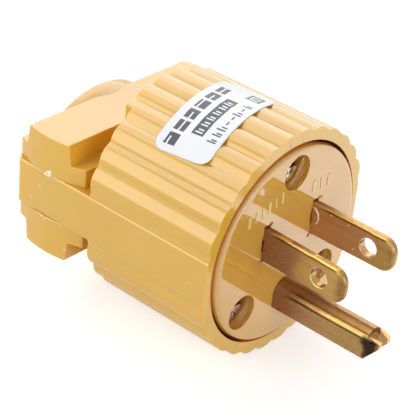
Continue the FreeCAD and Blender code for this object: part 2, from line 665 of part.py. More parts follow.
def build_cord_clamp(name, side):
    """One half of the cord clamp: a plate with a raised block, and a saddle for the cord."""
    body = new_body(f"{name}_cord_clamp")

    def up(expression):
        return expression if side == "" else f"-({expression})"

    profile = side_sketch(body, f"{name}_clamp_profile", "0")
    add_polygon(profile, [
        ("sizes.clamp_front", up("sizes.band_half_height")),
        ("sizes.clamp_rear", up("sizes.band_half_height")),
        ("sizes.clamp_rear", up("sizes.clamp_plate_top")),
        ("sizes.clamp_block_rear + sizes.clamp_draft", up("sizes.clamp_plate_top")),
        ("sizes.clamp_block_rear", up("sizes.clamp_block_top")),
        ("sizes.clamp_block_front", up("sizes.clamp_block_top")),
        ("sizes.clamp_block_front - sizes.clamp_draft", up("sizes.clamp_plate_top")),
        ("sizes.clamp_front", up("sizes.clamp_plate_top"))])
    extrude_both_ways(body, "Pad", f"{name}_clamp_bar", profile,
                      "2 * (sizes.clamp_outline_radius + sizes.cut_margin)")
    ends = plan_sketch(body, f"{name}_clamp_ends_outline", "0")
    far = "2 * sizes.clamp_outline_radius"
    add_rectangle(ends, f"-{far}", far, f"sizes.clamp_outline_centre - {far}",
                  f"sizes.clamp_outline_centre + {far}")
    add_circle(ends, "0", "sizes.clamp_outline_centre", "sizes.clamp_outline_radius")
    extrude_both_ways(body, "Pocket", f"{name}_clamp_ends", ends, "4 * sizes.clamp_block_top")

    hump = cross_sketch(body, f"{name}_hump_outline",
                        "sizes.clamp_block_rear - sizes.pad_overlap")
    reach = "sizes.clamp_hump_half_width"
    foot = up("sizes.clamp_plate_top - sizes.pad_overlap")
    centre = up("sizes.clamp_hump_top - sizes.clamp_hump_radius")
    lean = math.degrees(math.acos(number(f"{reach} / sizes.clamp_hump_radius")))
    if side == "":
        add_arc_and_corners(hump, ("0", centre), "sizes.clamp_hump_radius", (lean, 180 - lean),
                            ("DistanceX", reach), ("DistanceX", f"-{reach}"),
                            [(f"-{reach}", foot), (reach, foot)])
    else:
        add_arc_and_corners(hump, ("0", centre), "sizes.clamp_hump_radius",
                            (180 + lean, 360 - lean),
                            ("DistanceX", f"-{reach}"), ("DistanceX", reach),
                            [(reach, foot), (f"-{reach}", foot)])
    extrude(body, "Pad", f"{name}_hump", hump,
            "sizes.clamp_rear - sizes.clamp_block_rear + sizes.pad_overlap")

    tongue = cross_sketch(body, f"{name}_tongue_outline", "sizes.clamp_front")
    half = "(sizes.arm_inner - sizes.clamp_tongue_side)"
    add_rectangle(tongue, f"-{half}", half, up("sizes.clamp_tongue_gap"),
                  up("sizes.band_half_height + sizes.pad_overlap"))
    extrude(body, "Pad", f"{name}_tongue", tongue, "sizes.clamp_rear - sizes.clamp_front")
    bore = cross_sketch(body, f"{name}_bore_outline", "sizes.clamp_front - sizes.cut_margin")
    add_circle(bore, "0", "0", "sizes.cord_radius")
    extrude(body, "Pocket", f"{name}_bore", bore,
            "sizes.clamp_rear - sizes.clamp_front + 2 * sizes.cut_margin")
    return body


def add_clamp_holes(body, name, circles, height, length, upward):
    """A pair of round holes in a clamp half, one above each arm."""
    sketch = plan_sketch(body, f"{name}_outline", height)
    for side in ("", "-"):
        add_circle(sketch, f"{side}{CLAMP_SCREW_ACROSS}", "sizes.clamp_screw_place", circles)
    return extrude(body, "Pocket", name, sketch, length, forward=upward)


def build_clamp_insert(name, side):
    """The knurled brass insert that takes a clamp screw, moulded into the upper half."""
    body = new_body(f"clamp_insert_{name}")
    sketch = plan_sketch(body, f"{name}_insert_outline", INSERT_FOOT)
    across = f"{side}{CLAMP_SCREW_ACROSS}"
    add_circle(sketch, across, "sizes.clamp_screw_place", "sizes.clamp_insert_radius")
    add_circle(sketch, across, "sizes.clamp_screw_place", "sizes.clamp_screw_radius")
    extrude(body, "Pad", f"{name}_insert", sketch, "sizes.clamp_insert_height", forward=True)
    return body


def build_label():
    """A thin sheet on top of the barrel that dips a little between the ribs."""
    body = new_body("rating_label")
    length = "sizes.label_rear - sizes.label_front"
    for kind, extra in (("Pad", " + sizes.label_thickness"), ("Pocket", "")):
        base = cross_sketch(body, f"label_{kind}_outline", "sizes.label_front")
        add_circle(base, "0", "0", f"sizes.label_floor_radius{extra}")
        extrude(body, kind, f"label_{kind}", base, length)
        rib = cross_sketch(body, f"label_{kind}_rib_outline", "sizes.label_front")
        add_circle(rib, f"{RIB_CENTRE} * cos({FIRST_RIB} * 1 deg)",
                   f"{RIB_CENTRE} * sin({FIRST_RIB} * 1 deg)", f"sizes.rib_radius{extra}")
        one = extrude(body, kind, f"label_{kind}_rib", rib, length)
        pattern_round(body, f"label_{kind}_ribs", one, rib, RIB_SPAN, "sizes.ribs_per_side")
    window = cross_sketch(body, "label_window", "sizes.label_front")
    far = "4 * sizes.crest_radius"
    start = "sizes.label_start_angle * 1 deg"
    end = "sizes.label_end_angle * 1 deg"
    add_polygon(window, [
        ("0", "0"), (f"{far} * cos({end})", f"{far} * sin({end})"),
        (f"-{far}", f"-{far}"), (far, f"-{far}"),
        (f"{far} * cos({start})", f"{far} * sin({start})")])
    extrude(body, "Pocket", "label_ends", window, length)
    return body


def build_all():
    build_housing_shell()
    build_face_insert()
    for name, side in (("line", "-"), ("neutral", "")):
        build_blade(name, side)
    build_ground_pin()

    across_axis = FreeCAD.Vector(1, 0, 0)
    head_forward = FreeCAD.Rotation(across_axis, 90)
    head_rearward = FreeCAD.Rotation(across_axis, -90)
    head_down = FreeCAD.Rotation(across_axis, 180)
    for name, (across, up) in COVER_SCREW_PLACES.items():
        build_screw(f"cover_screw_{name}", "sizes.cover_screw_head_radius",
                    "sizes.cover_screw_head_height", "sizes.cover_screw_radius",
                    "sizes.cover_screw_length", (across, "sizes.well_depth", up), head_forward)
    for name, (across, up) in TERMINALS.items():
        build_pressure_plate(name)
        build_screw(f"{name}_terminal_screw", "sizes.terminal_head_radius",
                    "sizes.terminal_head_height", "sizes.terminal_screw_radius",
                    "sizes.plate_thickness + sizes.tab_thickness",
                    (across, f"{TAB_BACK} + sizes.plate_thickness", up), head_rearward,
                    crossed=False)

    upper = build_cord_clamp("upper", "")
    add_clamp_holes(upper, "insert_seats", "sizes.clamp_insert_radius", INSERT_FOOT,
                    "sizes.clamp_insert_height", True)
    add_clamp_holes(upper, "screw_entries",
                    "sizes.clamp_screw_radius + sizes.clamp_screw_clearance",
                    "sizes.band_half_height", "sizes.clamp_insert_cover", True)
    lower = build_cord_clamp("lower", "-")
    add_clamp_holes(lower, "screw_passages",
                    "sizes.clamp_screw_radius + sizes.clamp_screw_clearance",
                    "-sizes.band_half_height", HEAD_SEAT, False)
    add_clamp_holes(lower, "head_sinks",
                    "sizes.clamp_head_radius + sizes.clamp_screw_clearance",
                    f"-{HEAD_SEAT}", "2 * sizes.clamp_head_sink", False)
    for name, side in (("left", "-"), ("right", "")):
        build_clamp_insert(name, side)
        build_screw(f"clamp_screw_{name}", "sizes.clamp_head_radius",
                    "sizes.clamp_head_height", "sizes.clamp_screw_radius",
                    f"({HEAD_SEAT} + {INSERT_FOOT} + sizes.clamp_insert_height)",
                    (f"{side}{CLAMP_SCREW_ACROSS}", "sizes.clamp_screw_place",
                     f"-{HEAD_SEAT}"), head_down, crossed=False)
    build_label()


def check_document():
    """Stop if any feature failed or any piece is not one sound solid."""
    doc.recompute()
    for item in doc.Objects:
        if "Invalid" in item.State or "Error" in item.State:
            raise RuntimeError(f"{item.Name} failed: {item.State}")
    for node in NODES:
        shape = node.Shape
        if shape.isNull() or not shape.isValid() or len(shape.Solids) != 1:
            raise RuntimeError(f"{node.Label} is not one sound solid")
        print(f"{node.Label}: {shape.Volume:.1f} mm3, {len(shape.Faces)} faces")


def export_parts():
    os.makedirs("parts", exist_ok=True)
    for node in NODES:
        node.Shape.exportStep(os.path.join("parts", f"{node.Label}.step"))


build_all()
check_document()
export_parts()
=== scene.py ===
import math
import random

import bmesh
import bpy
from mathutils import Euler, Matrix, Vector


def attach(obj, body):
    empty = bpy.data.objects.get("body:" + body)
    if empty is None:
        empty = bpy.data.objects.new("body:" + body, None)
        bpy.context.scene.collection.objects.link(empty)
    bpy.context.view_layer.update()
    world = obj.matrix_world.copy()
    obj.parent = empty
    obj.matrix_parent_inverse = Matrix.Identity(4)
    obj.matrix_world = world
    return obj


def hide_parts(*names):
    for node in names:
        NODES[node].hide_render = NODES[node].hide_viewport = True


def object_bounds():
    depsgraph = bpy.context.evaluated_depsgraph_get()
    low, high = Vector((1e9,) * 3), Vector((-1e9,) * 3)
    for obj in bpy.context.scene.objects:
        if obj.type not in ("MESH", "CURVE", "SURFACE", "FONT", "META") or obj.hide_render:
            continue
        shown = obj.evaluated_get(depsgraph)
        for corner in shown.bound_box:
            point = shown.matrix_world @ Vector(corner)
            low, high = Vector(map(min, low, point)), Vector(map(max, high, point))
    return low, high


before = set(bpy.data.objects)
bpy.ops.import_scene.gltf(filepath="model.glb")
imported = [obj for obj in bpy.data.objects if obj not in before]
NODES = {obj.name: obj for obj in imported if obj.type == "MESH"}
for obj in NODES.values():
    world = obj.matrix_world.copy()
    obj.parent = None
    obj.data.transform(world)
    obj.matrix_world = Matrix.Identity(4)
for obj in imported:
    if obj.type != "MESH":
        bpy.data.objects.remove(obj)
CAD_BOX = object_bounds()
MM = 0.001
WELD_DISTANCE = 0.002 * MM
RNG = random.Random(7)


# Sizes of the object that materials and new pieces share, in millimetres

CREST = 20.8
GAP_RADIUS, GAP_HALF = 18.26, 0.30
WELLS = ((0.0, 13.8), (-10.571, -8.871), (10.571, -8.871))
WELL_RADIUS = 3.3
SCREW_HEAD_TOP = 2.2
BLADE_HEIGHT, BLADE_HALF = 2.9, 3.175
BLADE_TOP, BLADE_FOOT = BLADE_HEIGHT + BLADE_HALF, BLADE_HEIGHT - BLADE_HALF
HOLE_AT, HOLE_RADIUS = -11.9, 1.68
GROUND_CROWN = -9.0
ARM_RADIUS, ARM_CENTRE = 19.9, 37.5


# Node helpers

class Graph:
    """Short calls for building one material's nodes. Coordinates and depths are in millimetres."""

    def __init__(self, name):
        self.material = bpy.data.materials.new(name)
        self.material.use_nodes = True
        self.tree = self.material.node_tree
        self.tree.nodes.clear()
        self.output = self.tree.nodes.new("ShaderNodeOutputMaterial")
        self.shader = self.tree.nodes.new("ShaderNodeBsdfPrincipled")
        self.link(self.shader.outputs[0], self.output.inputs["Surface"])
        self.coords = self.tree.nodes.new("ShaderNodeTexCoord")

    def link(self, source, target):
        self.tree.links.new(source, target)

    def put(self, socket, value):
        """Links the value if it comes from a node, or else sets it."""
        if isinstance(value, bpy.types.NodeSocket):
            self.link(value, socket)
        elif value is not None:
            socket.default_value = value

    def set(self, **values):
        """Sets the shader's sockets, named with underscores for spaces."""
        for name, value in values.items():
            self.put(self.shader.inputs[name.replace("_", " ")], value)

    def noise(self, scale, detail=3.0, rough=0.5, stretch=(1, 1, 1)):
        """Smooth noise from 0 to 1, with its scale per metre."""
        place = self.tree.nodes.new("ShaderNodeMapping")
        self.link(self.coords.outputs["Object"], place.inputs["Vector"])
        place.inputs["Scale"].default_value = stretch
        node = self.tree.nodes.new("ShaderNodeTexNoise")
        self.link(place.outputs[0], node.inputs["Vector"])
        node.inputs["Scale"].default_value = scale
        node.inputs["Detail"].default_value = detail
        node.inputs["Roughness"].default_value = rough
        return node.outputs[0]

    def sway(self, noise, amount):
        """The noise as an offset to both sides of zero."""
        return self.times(self.math("SUBTRACT", noise, 0.5), amount)

    def axis(self, name):
        """One coordinate of the point that is shaded."""
        node = self.tree.nodes.new("ShaderNodeSeparateXYZ")
        self.link(self.coords.outputs["Object"], node.inputs[0])
        return self.math("DIVIDE", node.outputs[name], MM)

    def span(self, value, start, end, low=0.0, high=1.0):
        """Smooth step from low to high while the value goes from start to end."""
        node = self.tree.nodes.new("ShaderNodeMapRange")
        node.interpolation_type = "SMOOTHSTEP"
        self.put(node.inputs["Value"], value)
        node.inputs["From Min"].default_value = start
        node.inputs["From Max"].default_value = end
        node.inputs["To Min"].default_value = low
        node.inputs["To Max"].default_value = high
        return node.outputs[0]

    def math(self, operation, a, b=None):
        node = self.tree.nodes.new("ShaderNodeMath")
        node.operation = operation
        for socket, value in zip(node.inputs, (a, b)):
            self.put(socket, value)
        return node.outputs[0]

    def mix(self, factor, a, b):
        node = self.tree.nodes.new("ShaderNodeMix")
        node.data_type = "RGBA"
        self.put(node.inputs[0], factor)
        for socket, value in ((node.inputs[6], a), (node.inputs[7], b)):
            self.put(socket, value if isinstance(value, bpy.types.NodeSocket) else (*value, 1))
        return node.outputs[2]

    def band(self, value, centre, half, soft):
        """1 within half of the centre, falling to 0 over the soft width."""
        distance = self.math("ABSOLUTE", self.math("SUBTRACT", value, centre))
        return self.span(distance, half, half + soft, 1.0, 0.0)

    def times(self, *values):
        result = values[0]
        for value in values[1:]:
            result = self.math("MULTIPLY", result, value)
        return result

    def radius(self, a, a0, b, b0):
        """Distance in the plane of two coordinates from the point a0, b0."""
        da = self.math("SUBTRACT", a, a0)
        db = self.math("SUBTRACT", b, b0)
        return self.math("SQRT", self.math("ADD", self.times(da, da), self.times(db, db)))

    def bump(self, height, strength, depth, normal=None):
        """A normal that follows the height, on top of another normal if one is given."""
        node = self.tree.nodes.new("ShaderNodeBump")
        node.inputs["Strength"].default_value = strength
        node.inputs["Distance"].default_value = depth * MM
        self.put(node.inputs["Height"], height)
        self.put(node.inputs["Normal"], normal)
        return node.outputs[0]


def srgb(code):
    """Linear colour from a hex code."""
    values = [int(code[i:i + 2], 16) / 255 for i in (0, 2, 4)]
    return tuple(v / 12.92 if v <= 0.04045 else ((v + 0.055) / 1.055) ** 2.4 for v in values)


# Materials

def plastic(name, light, deep, roughness, ior, ripple, painted_crevice_light=None, glow=0.35):
    """Glossy moulded plastic: slightly uneven colour and gloss, and faint flow waves.

    A function for the crevices gives the share and colour of painted shade and painted glow on
    hidden walls. The glow is the share of light that goes under the surface.
    """
    g = Graph(name)
    colour = g.mix(g.span(g.noise(55, detail=2), 0.35, 0.65), deep, light)
    walls = painted_crevice_light(g) if painted_crevice_light else []
    for share, tint in walls:
        colour = g.mix(share, colour, tint)
    gloss = g.span(g.noise(80, detail=1), 0.3, 0.7, roughness * 0.92, roughness * 1.1)
    waves = g.bump(g.noise(90, detail=0), ripple, 0.6)
    g.set(Base_Color=colour, Roughness=gloss, IOR=ior, Normal=waves, Subsurface_Weight=glow,
          Subsurface_Radius=(1.0, 0.42, 0.10), Subsurface_Scale=2.2 * MM)
    return g.material


def gap_painted_glow_and_shade(g):
    """Painted light on the walls of the gap round the insert: a painted orange-brown glow, and
    painted maroon shade where the gap is widest.
    """
    across, depth, height = g.axis("X"), g.axis("Y"), g.axis("Z")
    out = g.radius(across, 0.0, height, 0.0)
    deep = g.times(g.span(depth, 0.85, 1.10), g.span(depth, 8.5, 7.5))
    # Painted orange-brown glow on the walls deep in the gap
    gap = g.times(g.band(out, GAP_RADIUS, GAP_HALF, 0.04), deep)
    # Painted maroon shade in the two sectors where the gap is widest
    angle = g.math("ARCTAN2", height, across)
    low, high = (g.band(angle, math.radians(middle), 0.27, 0.20) for middle in (-138, 55))
    shade_sectors = g.math("MAXIMUM", low, high)
    return [(gap, srgb("F09444")), (g.times(gap, shade_sectors), srgb("A04C2C"))]


def gap_and_well_painted_shade(g):
    """The gap's painted glow and shade, and painted deeper orange shade in the three screw wells.
    """
    across, depth, height = g.axis("X"), g.axis("Y"), g.axis("Z")
    walls = gap_painted_glow_and_shade(g)
    # Painted deeper orange shade on the walls of the wells, growing with depth
    for x, z in WELLS:
        out = g.radius(across, x, height, z)
        inside = g.span(out, WELL_RADIUS, WELL_RADIUS + 0.1, 1.0, 0.0)
        walls.append((g.times(inside, g.span(depth, 1.2, 3.6)), srgb("CB7C30")))
    return walls


def brass(name, gold, brown, crown, start, end):
    """Worn sheet brass of a blade: brown at the root, golden towards a pitted, darker tip, with a
    painted highlight along its upper edge and round its hole and painted shade in the hole.

    The brown ends between the depths start and end. The crown is the colour of the upper edge.
    """
    g = Graph(name)
    depth, height = g.axis("Y"), g.axis("Z")
    blotch = g.noise(160, detail=5, rough=0.6)
    shifted = g.math("ADD", depth, g.sway(blotch, 6.0))
    colour = g.mix(g.span(shifted, start, end), brown, gold)
    brushed = g.noise(900, detail=3, stretch=(1, 0.08, 1))
    colour = g.mix(g.span(brushed, 0.35, 0.75, 0, 0.35), colour, tuple(c * 0.6 for c in gold))

    # Pits, most of them near the tip
    grains = g.noise(3400, detail=2, rough=0.7)
    tip = g.span(shifted, -14.8, -16.6)
    colour = g.mix(g.times(tip, 0.55), colour, srgb("7A5230"))
    specks = g.times(g.span(grains, 0.52, 0.66), g.math("ADD", 0.12, g.times(tip, 0.60)))
    colour = g.mix(specks, colour, srgb("33200F"))

    # Upper edge with its own colour, a painted highlight line along its rounding and a dark line
    # below it, and the dark lower edge
    level = g.math("ADD", height, g.sway(g.noise(420, detail=3, stretch=(1, 1, 0.2)), 0.3))
    along = g.times(g.span(depth, -0.8, -3.5), g.span(depth, -15.6, -14.6))
    edge = g.span(height, BLADE_TOP - 0.055, BLADE_TOP - 0.015)
    colour = g.mix(g.times(edge, 0.85), colour, crown)
    # The first line is a painted highlight; the second is a dark line
    for below, half, soft, tint in ((0.155, 0.08, 0.06, "E8B656"), (0.415, 0.07, 0.12, "2A1A10")):
        line = g.times(g.band(level, BLADE_TOP - below, half, soft), along, 0.8)
        colour = g.mix(line, colour, srgb(tint))
    foot = g.times(g.band(level, BLADE_FOOT + 0.095, 0.06, 0.10), 0.7)
    colour = g.mix(foot, colour, srgb("4A2216"))

    # Painted highlight on the rim of the hole, strongest below, and painted shade as a dark patch
    # on its wall
    from_hole = g.radius(depth, HOLE_AT, height, BLADE_HEIGHT)
    low = g.span(g.math("SUBTRACT", height, g.times(depth, 0.3)), 5.6, 5.0)
    ring = g.times(g.band(from_hole, HOLE_RADIUS + 0.12, 0.06, 0.04), g.math("ADD", 0.25, low))
    colour = g.mix(g.times(ring, 0.8), colour, srgb("F2DDA4"))
    wall = g.span(from_hole, HOLE_RADIUS + 0.04, HOLE_RADIUS + 0.01)
    hole_shade = g.times(wall, g.band(height, BLADE_HEIGHT + 0.2, 0.2, 0.3))
    colour = g.mix(g.times(hole_shade, 0.85), colour, srgb("33261E"))

    gloss = g.math("ADD", g.span(blotch, 0.3, 0.7, 0.24, 0.39), g.times(specks, 0.25))
    normal = g.bump(brushed, 0.25, 0.04)
    normal = g.bump(g.span(grains, 0.35, 0.6), 0.4, 0.03, normal)
    g.set(Base_Color=colour, Metallic=0.9, Roughness=gloss, Normal=normal)
    return g.material


def pin_brass(name, gold, brown):
    """Worn brass of the ground pin: painted reflection lines and a painted darker top on the
    crown, and a blackened leg end.
    """
    g = Graph(name)
    across, depth, height = g.axis("X"), g.axis("Y"), g.axis("Z")
    blotch = g.noise(170, detail=5, rough=0.6)
    shifted = g.math("ADD", depth, g.sway(blotch, 10.0))
    colour = g.mix(g.span(shifted, -3.0, -12.5), brown, gold)
    # Painted darker reflection on the top of the crown
    colour = g.mix(g.times(g.span(height, -7.3, -6.7), 0.75), colour, srgb("906238"))
    brushed = g.noise(1000, detail=3, stretch=(1, 0.05, 1))
    colour = g.mix(g.span(brushed, 0.35, 0.75, 0, 0.45), colour, tuple(c * 0.55 for c in gold))

    # Painted reflection lines along the crown, placed by the angle round its axis: a highlight
    # strip and two dark lines
    angle = g.math("ARCTAN2", g.math("SUBTRACT", height, GROUND_CROWN),
                   g.math("ABSOLUTE", across))
    angle = g.math("ADD", angle, g.sway(g.noise(300, detail=2, stretch=(1, 0.3, 1)), 0.16))
    crown_highlight = g.times(g.band(angle, 0.60, 0.05, 0.06), g.span(depth, -3.0, -8.0))
    colour = g.mix(g.times(crown_highlight, 0.4), colour, srgb("E0B060"))
    for place, half, share in ((0.40, 0.05, 0.85), (0.82, 0.02, 0.6)):
        line = g.times(g.band(angle, place, half, 0.07), g.span(depth, -1.5, -5.0), share)
        colour = g.mix(line, colour, srgb("2C1A0E"))

    # The near leg's black end, and a painted highlight that makes the inner side of the far leg's
    # end paler
    near = g.span(across, -1.4, -1.9)
    black = g.times(g.span(shifted, -17.2, -19.0), near, g.span(height, -7.2, -7.8))
    colour = g.mix(g.times(black, 0.93), colour, srgb("1A1412"))
    inner = g.times(g.span(depth, -19.0, -19.6), g.math("SUBTRACT", 1.0, near))
    colour = g.mix(g.times(inner, 0.7), colour, srgb("D9A878"))

    grains = g.noise(3200, detail=2, rough=0.7)
    specks = g.times(g.span(grains, 0.52, 0.68), 0.35)
    colour = g.mix(specks, colour, srgb("33200F"))
    normal = g.bump(brushed, 0.3, 0.05)
    normal = g.bump(g.span(grains, 0.35, 0.6), 0.3, 0.03, normal)
    g.set(Base_Color=colour, Metallic=0.9, Roughness=g.span(blotch, 0.3, 0.7, 0.2, 0.34),
          Normal=normal)
    return g.material


def metal(name, colour, dark, roughness, scale=600, recess_shade=None):
    """Plated screw metal with stains and fine scratches, and painted shade in its cross slot and
    below its head's top if a shade colour is given.
    """
    g = Graph(name)
    stain = g.span(g.noise(scale, detail=4), 0.42, 0.7)
    scratch = g.noise(4000, detail=2, stretch=(1, 0.15, 0.15))
    mixed = g.mix(stain, colour, dark)
    if recess_shade:
        # Painted shade: what lies deeper than the head's top turns dark
        sunk_shade = g.span(g.axis("Y"), SCREW_HEAD_TOP + 0.15, SCREW_HEAD_TOP + 0.50)
        mixed = g.mix(sunk_shade, mixed, recess_shade)
    g.set(Base_Color=mixed, Metallic=1.0,
          Roughness=g.span(scratch, 0.3, 0.7, roughness * 0.7, roughness * 1.4),
          Normal=g.bump(scratch, 0.3, 0.02))
    return g.material


def sheet_print(name, light, dark, roughness):
    """Satin film of the label, or the grey print on it, with a fine grain."""
    g = Graph(name)
    colour = g.mix(g.span(g.noise(90, detail=3), 0.3, 0.7), dark, light)
    grain = g.noise(5000, detail=2)
    worn = g.span(g.noise(1500, detail=3), 0.66, 0.74)
    colour = g.mix(g.times(worn, 0.3), colour, srgb("D9DAE0"))
    g.set(Base_Color=colour, Roughness=g.span(grain, 0.3, 0.7, roughness * 0.8, roughness * 1.2),
          IOR=1.5, Normal=g.bump(grain, 0.15, 0.02))
    return g.material


SHELL_LIGHT = srgb("E2B13C")
SHELL_DEEP = srgb("DFAD36")
MATERIALS = {
    "shell": plastic("shell_plastic", SHELL_LIGHT, SHELL_DEEP, 0.18, 1.8, 0.010, gap_painted_glow_and_shade),
    "clamp": plastic("clamp_plastic", SHELL_LIGHT, SHELL_DEEP, 0.24, 1.75, 0.008),
    "insert": plastic("insert_plastic", srgb("DAA648"), srgb("D4A040"), 0.05, 2.0, 0.02,
                      gap_and_well_painted_shade),
    "tear": plastic("torn_plastic", srgb("D98A26"), srgb("BD6A1C"), 0.3, 1.5, 0.0),
    "blade_near": brass("blade_brass", srgb("C29A5A"), srgb("9E7658"), srgb("8A6040"),
                        -6.0, -8.6),
    "blade_far": brass("blade_brass_far", srgb("C09A5C"), srgb("CC9E70"), srgb("98784E"),
                       -11.2, -13.4),
    "ground": pin_brass("ground_brass", srgb("B8945A"), srgb("A27658")),
    "cover_screw": metal("cover_screw_metal", srgb("F8F6E0"), srgb("5A5030"), 0.20,
                         scale=900, recess_shade=srgb("1C1810")),
    "cover_screw_left": metal("cover_screw_copper", srgb("F4DCE0"), srgb("4A2A28"), 0.18,
                              scale=900, recess_shade=srgb("1A1012")),
    "line_screw": metal("line_screw_metal", srgb("D9B36A"), srgb("A07A3C"), 0.2),
    "neutral_screw": metal("neutral_screw_metal", srgb("D5D6D4"), srgb("9A9C9C"), 0.22),
    "ground_screw": metal("ground_screw_metal", srgb("3F8A4B"), srgb("285C32"), 0.3),
    "plate": metal("plate_steel", srgb("C9CBCB"), srgb("8F9494"), 0.3),
    "clamp_screw": metal("clamp_screw_steel", srgb("CDCFD0"), srgb("8B8F90"), 0.25),
    "clamp_insert": metal("clamp_insert_brass", srgb("D1A95C"), srgb("96743A"), 0.25),
    "label": sheet_print("label_paper", srgb("F5F6F9"), srgb("EFF1F7"), 0.30),
    "label_print": sheet_print("label_print", srgb("44414C"), srgb("514E5A"), 0.40),
    "crumb": plastic("crumb_plastic", srgb("FFF0DC"), srgb("F6DDB4"), 0.4, 1.5, 0.0, glow=0.0),
    # Pale yellow: a painted highlight on the face strokes, the gate core's own colour on the gate
    # core
    "mark": plastic("mark_plastic", srgb("F2D08C"), srgb("E9C47C"), 0.25, 1.5, 0.0, glow=0.0),
    "dark_speck": plastic("dark_speck", srgb("8A4A24"), srgb("6A3418"), 0.5, 1.5, 0.0),
}
NODE_MATERIAL = {
    "housing_shell": "shell", "face_insert": "insert",
    "upper_cord_clamp": "clamp", "lower_cord_clamp": "clamp",
    "line_blade": "blade_near", "neutral_blade": "blade_far", "ground_pin": "ground",
    "cover_screw_top": "cover_screw", "cover_screw_left": "cover_screw_left",
    "cover_screw_right": "cover_screw",
    "line_terminal_screw": "line_screw", "neutral_terminal_screw": "neutral_screw",
    "ground_terminal_screw": "ground_screw",
    "line_pressure_plate": "plate", "neutral_pressure_plate": "plate",
    "ground_pressure_plate": "plate",
    "clamp_screw_left": "clamp_screw", "clamp_screw_right": "clamp_screw",
    "clamp_insert_left": "clamp_insert", "clamp_insert_right": "clamp_insert",
    "rating_label": "label",
}


# Soft edges: flat facets are merged, then every sharp edge is rounded

def soften(obj, width, segments=3):
    """Modifiers that round the edges sharper than 30 degrees, by a width in millimetres."""
    weld = obj.modifiers.new("weld", "WELD")
    weld.merge_threshold = WELD_DISTANCE
    flat = obj.modifiers.new("flat", "DECIMATE")
    flat.decimate_type = "DISSOLVE"
    flat.angle_limit = math.radians(0.5)
    bevel = obj.modifiers.new("bevel", "BEVEL")
    bevel.limit_method = "ANGLE"
    bevel.angle_limit = math.radians(30)
    bevel.width = width * MM
    bevel.segments = segments
    bevel.miter_outer = "MITER_ARC"
    bevel.use_clamp_overlap = True
    normals = obj.modifiers.new("normals", "WEIGHTED_NORMAL")
    normals.keep_sharp = False


for node, kind in NODE_MATERIAL.items():
    slots = NODES[node].data.materials
    slots.clear()
    slots.append(MATERIALS[kind])
soften(NODES["housing_shell"], 0.3)
soften(NODES["face_insert"], 0.25, segments=2)
for half in ("upper", "lower"):
    soften(NODES[f"{half}_cord_clamp"], 0.5)
soften(NODES["ground_pin"], 0.12, segments=2)
for place in ("top", "left", "right"):
    soften(NODES[f"cover_screw_{place}"], 0.3)


# Pieces of the scene's own, in millimetres

def add_piece(name, points, faces, material, slot, smooth=True):
    """A new object that rides on the body, made from points and faces."""
    mesh = bpy.data.meshes.new(name)
    mesh.from_pydata([Vector(p) * MM for p in points], [], faces)
    mesh.materials.append(MATERIALS[material])
    mesh.polygons.foreach_set("use_smooth", [smooth] * len(faces))
    mesh.update()
    piece = bpy.data.objects.new(name, mesh)
    bpy.context.scene.collection.objects.link(piece)
    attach(piece, "root")
    return piece


BOX_FACES = [(0, 1, 3, 2), (4, 6, 7, 5), (0, 4, 5, 1), (2, 3, 7, 6), (0, 2, 6, 4), (1, 5, 7, 3)]


def bars(rows):
    """Points and faces of boxes; each row is a centre and three half-axis vectors."""
    points, faces = [], []
    for centre, *halves in rows:
        first = len(points)
        halves = [Vector(h) for h in halves]
        if halves[0].cross(halves[1]).dot(halves[2]) < 0:
            halves[2].negate()
        for i in (-1, 1):
            for j in (-1, 1):
                for k in (-1, 1):
                    points.append(Vector(centre) + i * halves[0] + j * halves[1] + k * halves[2])
        faces += [tuple(first + v for v in reversed(f)) for f in BOX_FACES]
    return points, faces


def lumps(rows, rings, sides):
    """Points and faces of small uneven balls; each row is a centre and three half sizes."""
    points, faces = [], []
    for centre, sizes in rows:
        first = len(points)
        centre = Vector(centre)
        points.append(centre + Vector((0, 0, sizes[2])))
        for r in range(1, rings):
            polar = math.pi * r / rings
            for k in range(sides):
                turn = 2 * math.pi * k / sides
                bulge = 1 + RNG.uniform(-0.14, 0.14)
                points.append(centre + Vector((
                    sizes[0] * math.sin(polar) * math.cos(turn) * bulge,
                    sizes[1] * math.sin(polar) * math.sin(turn) * bulge,
                    sizes[2] * math.cos(polar) * bulge)))
        points.append(centre - Vector((0, 0, sizes[2])))
        last = len(points) - 1
        ring = [[first + 1 + r * sides + k for k in range(sides)] for r in range(rings - 1)]
        for k in range(sides):
            n = (k + 1) % sides
            faces.append((first, ring[0][k], ring[0][n]))
            faces.append((last, ring[-1][n], ring[-1][k]))
            for r in range(rings - 2):
                faces.append((ring[r][k], ring[r + 1][k], ring[r + 1][n], ring[r][n]))
    return points, faces


def tube(path, radii, sides=8):
    """Points and faces of a closed tube along a path."""
    path = [Vector(p) for p in path]
    points, faces = [], []
    for i, centre in enumerate(path):
        ahead = (path[min(i + 1, len(path) - 1)] - path[max(i - 1, 0)]).normalized()
        side = ahead.cross(Vector((0.3, 0.2, 1))).normalized()
        other = ahead.cross(side)
        for k in range(sides):
            turn = 2 * math.pi * k / sides
            points.append(centre + radii[i] * (math.cos(turn) * side + math.sin(turn) * other))
    for i in range(len(path) - 1):
        for k in range(sides):
            n = (k + 1) % sides
            a, b = i * sides, (i + 1) * sides
            faces.append((a + k, a + n, b + n, b + k))
    faces.append(tuple(reversed(range(sides))))
    faces.append(tuple(range((len(path) - 1) * sides, len(path) * sides)))
    return points, faces


# Blades and clamp crown, where the photograph shows a little more than the nodes have

NODE_TIP, NODE_ROUND, NODE_HOLE = -16.9, 2.1, 2.0
TIP, TIP_ROUND = -17.0, 2.5


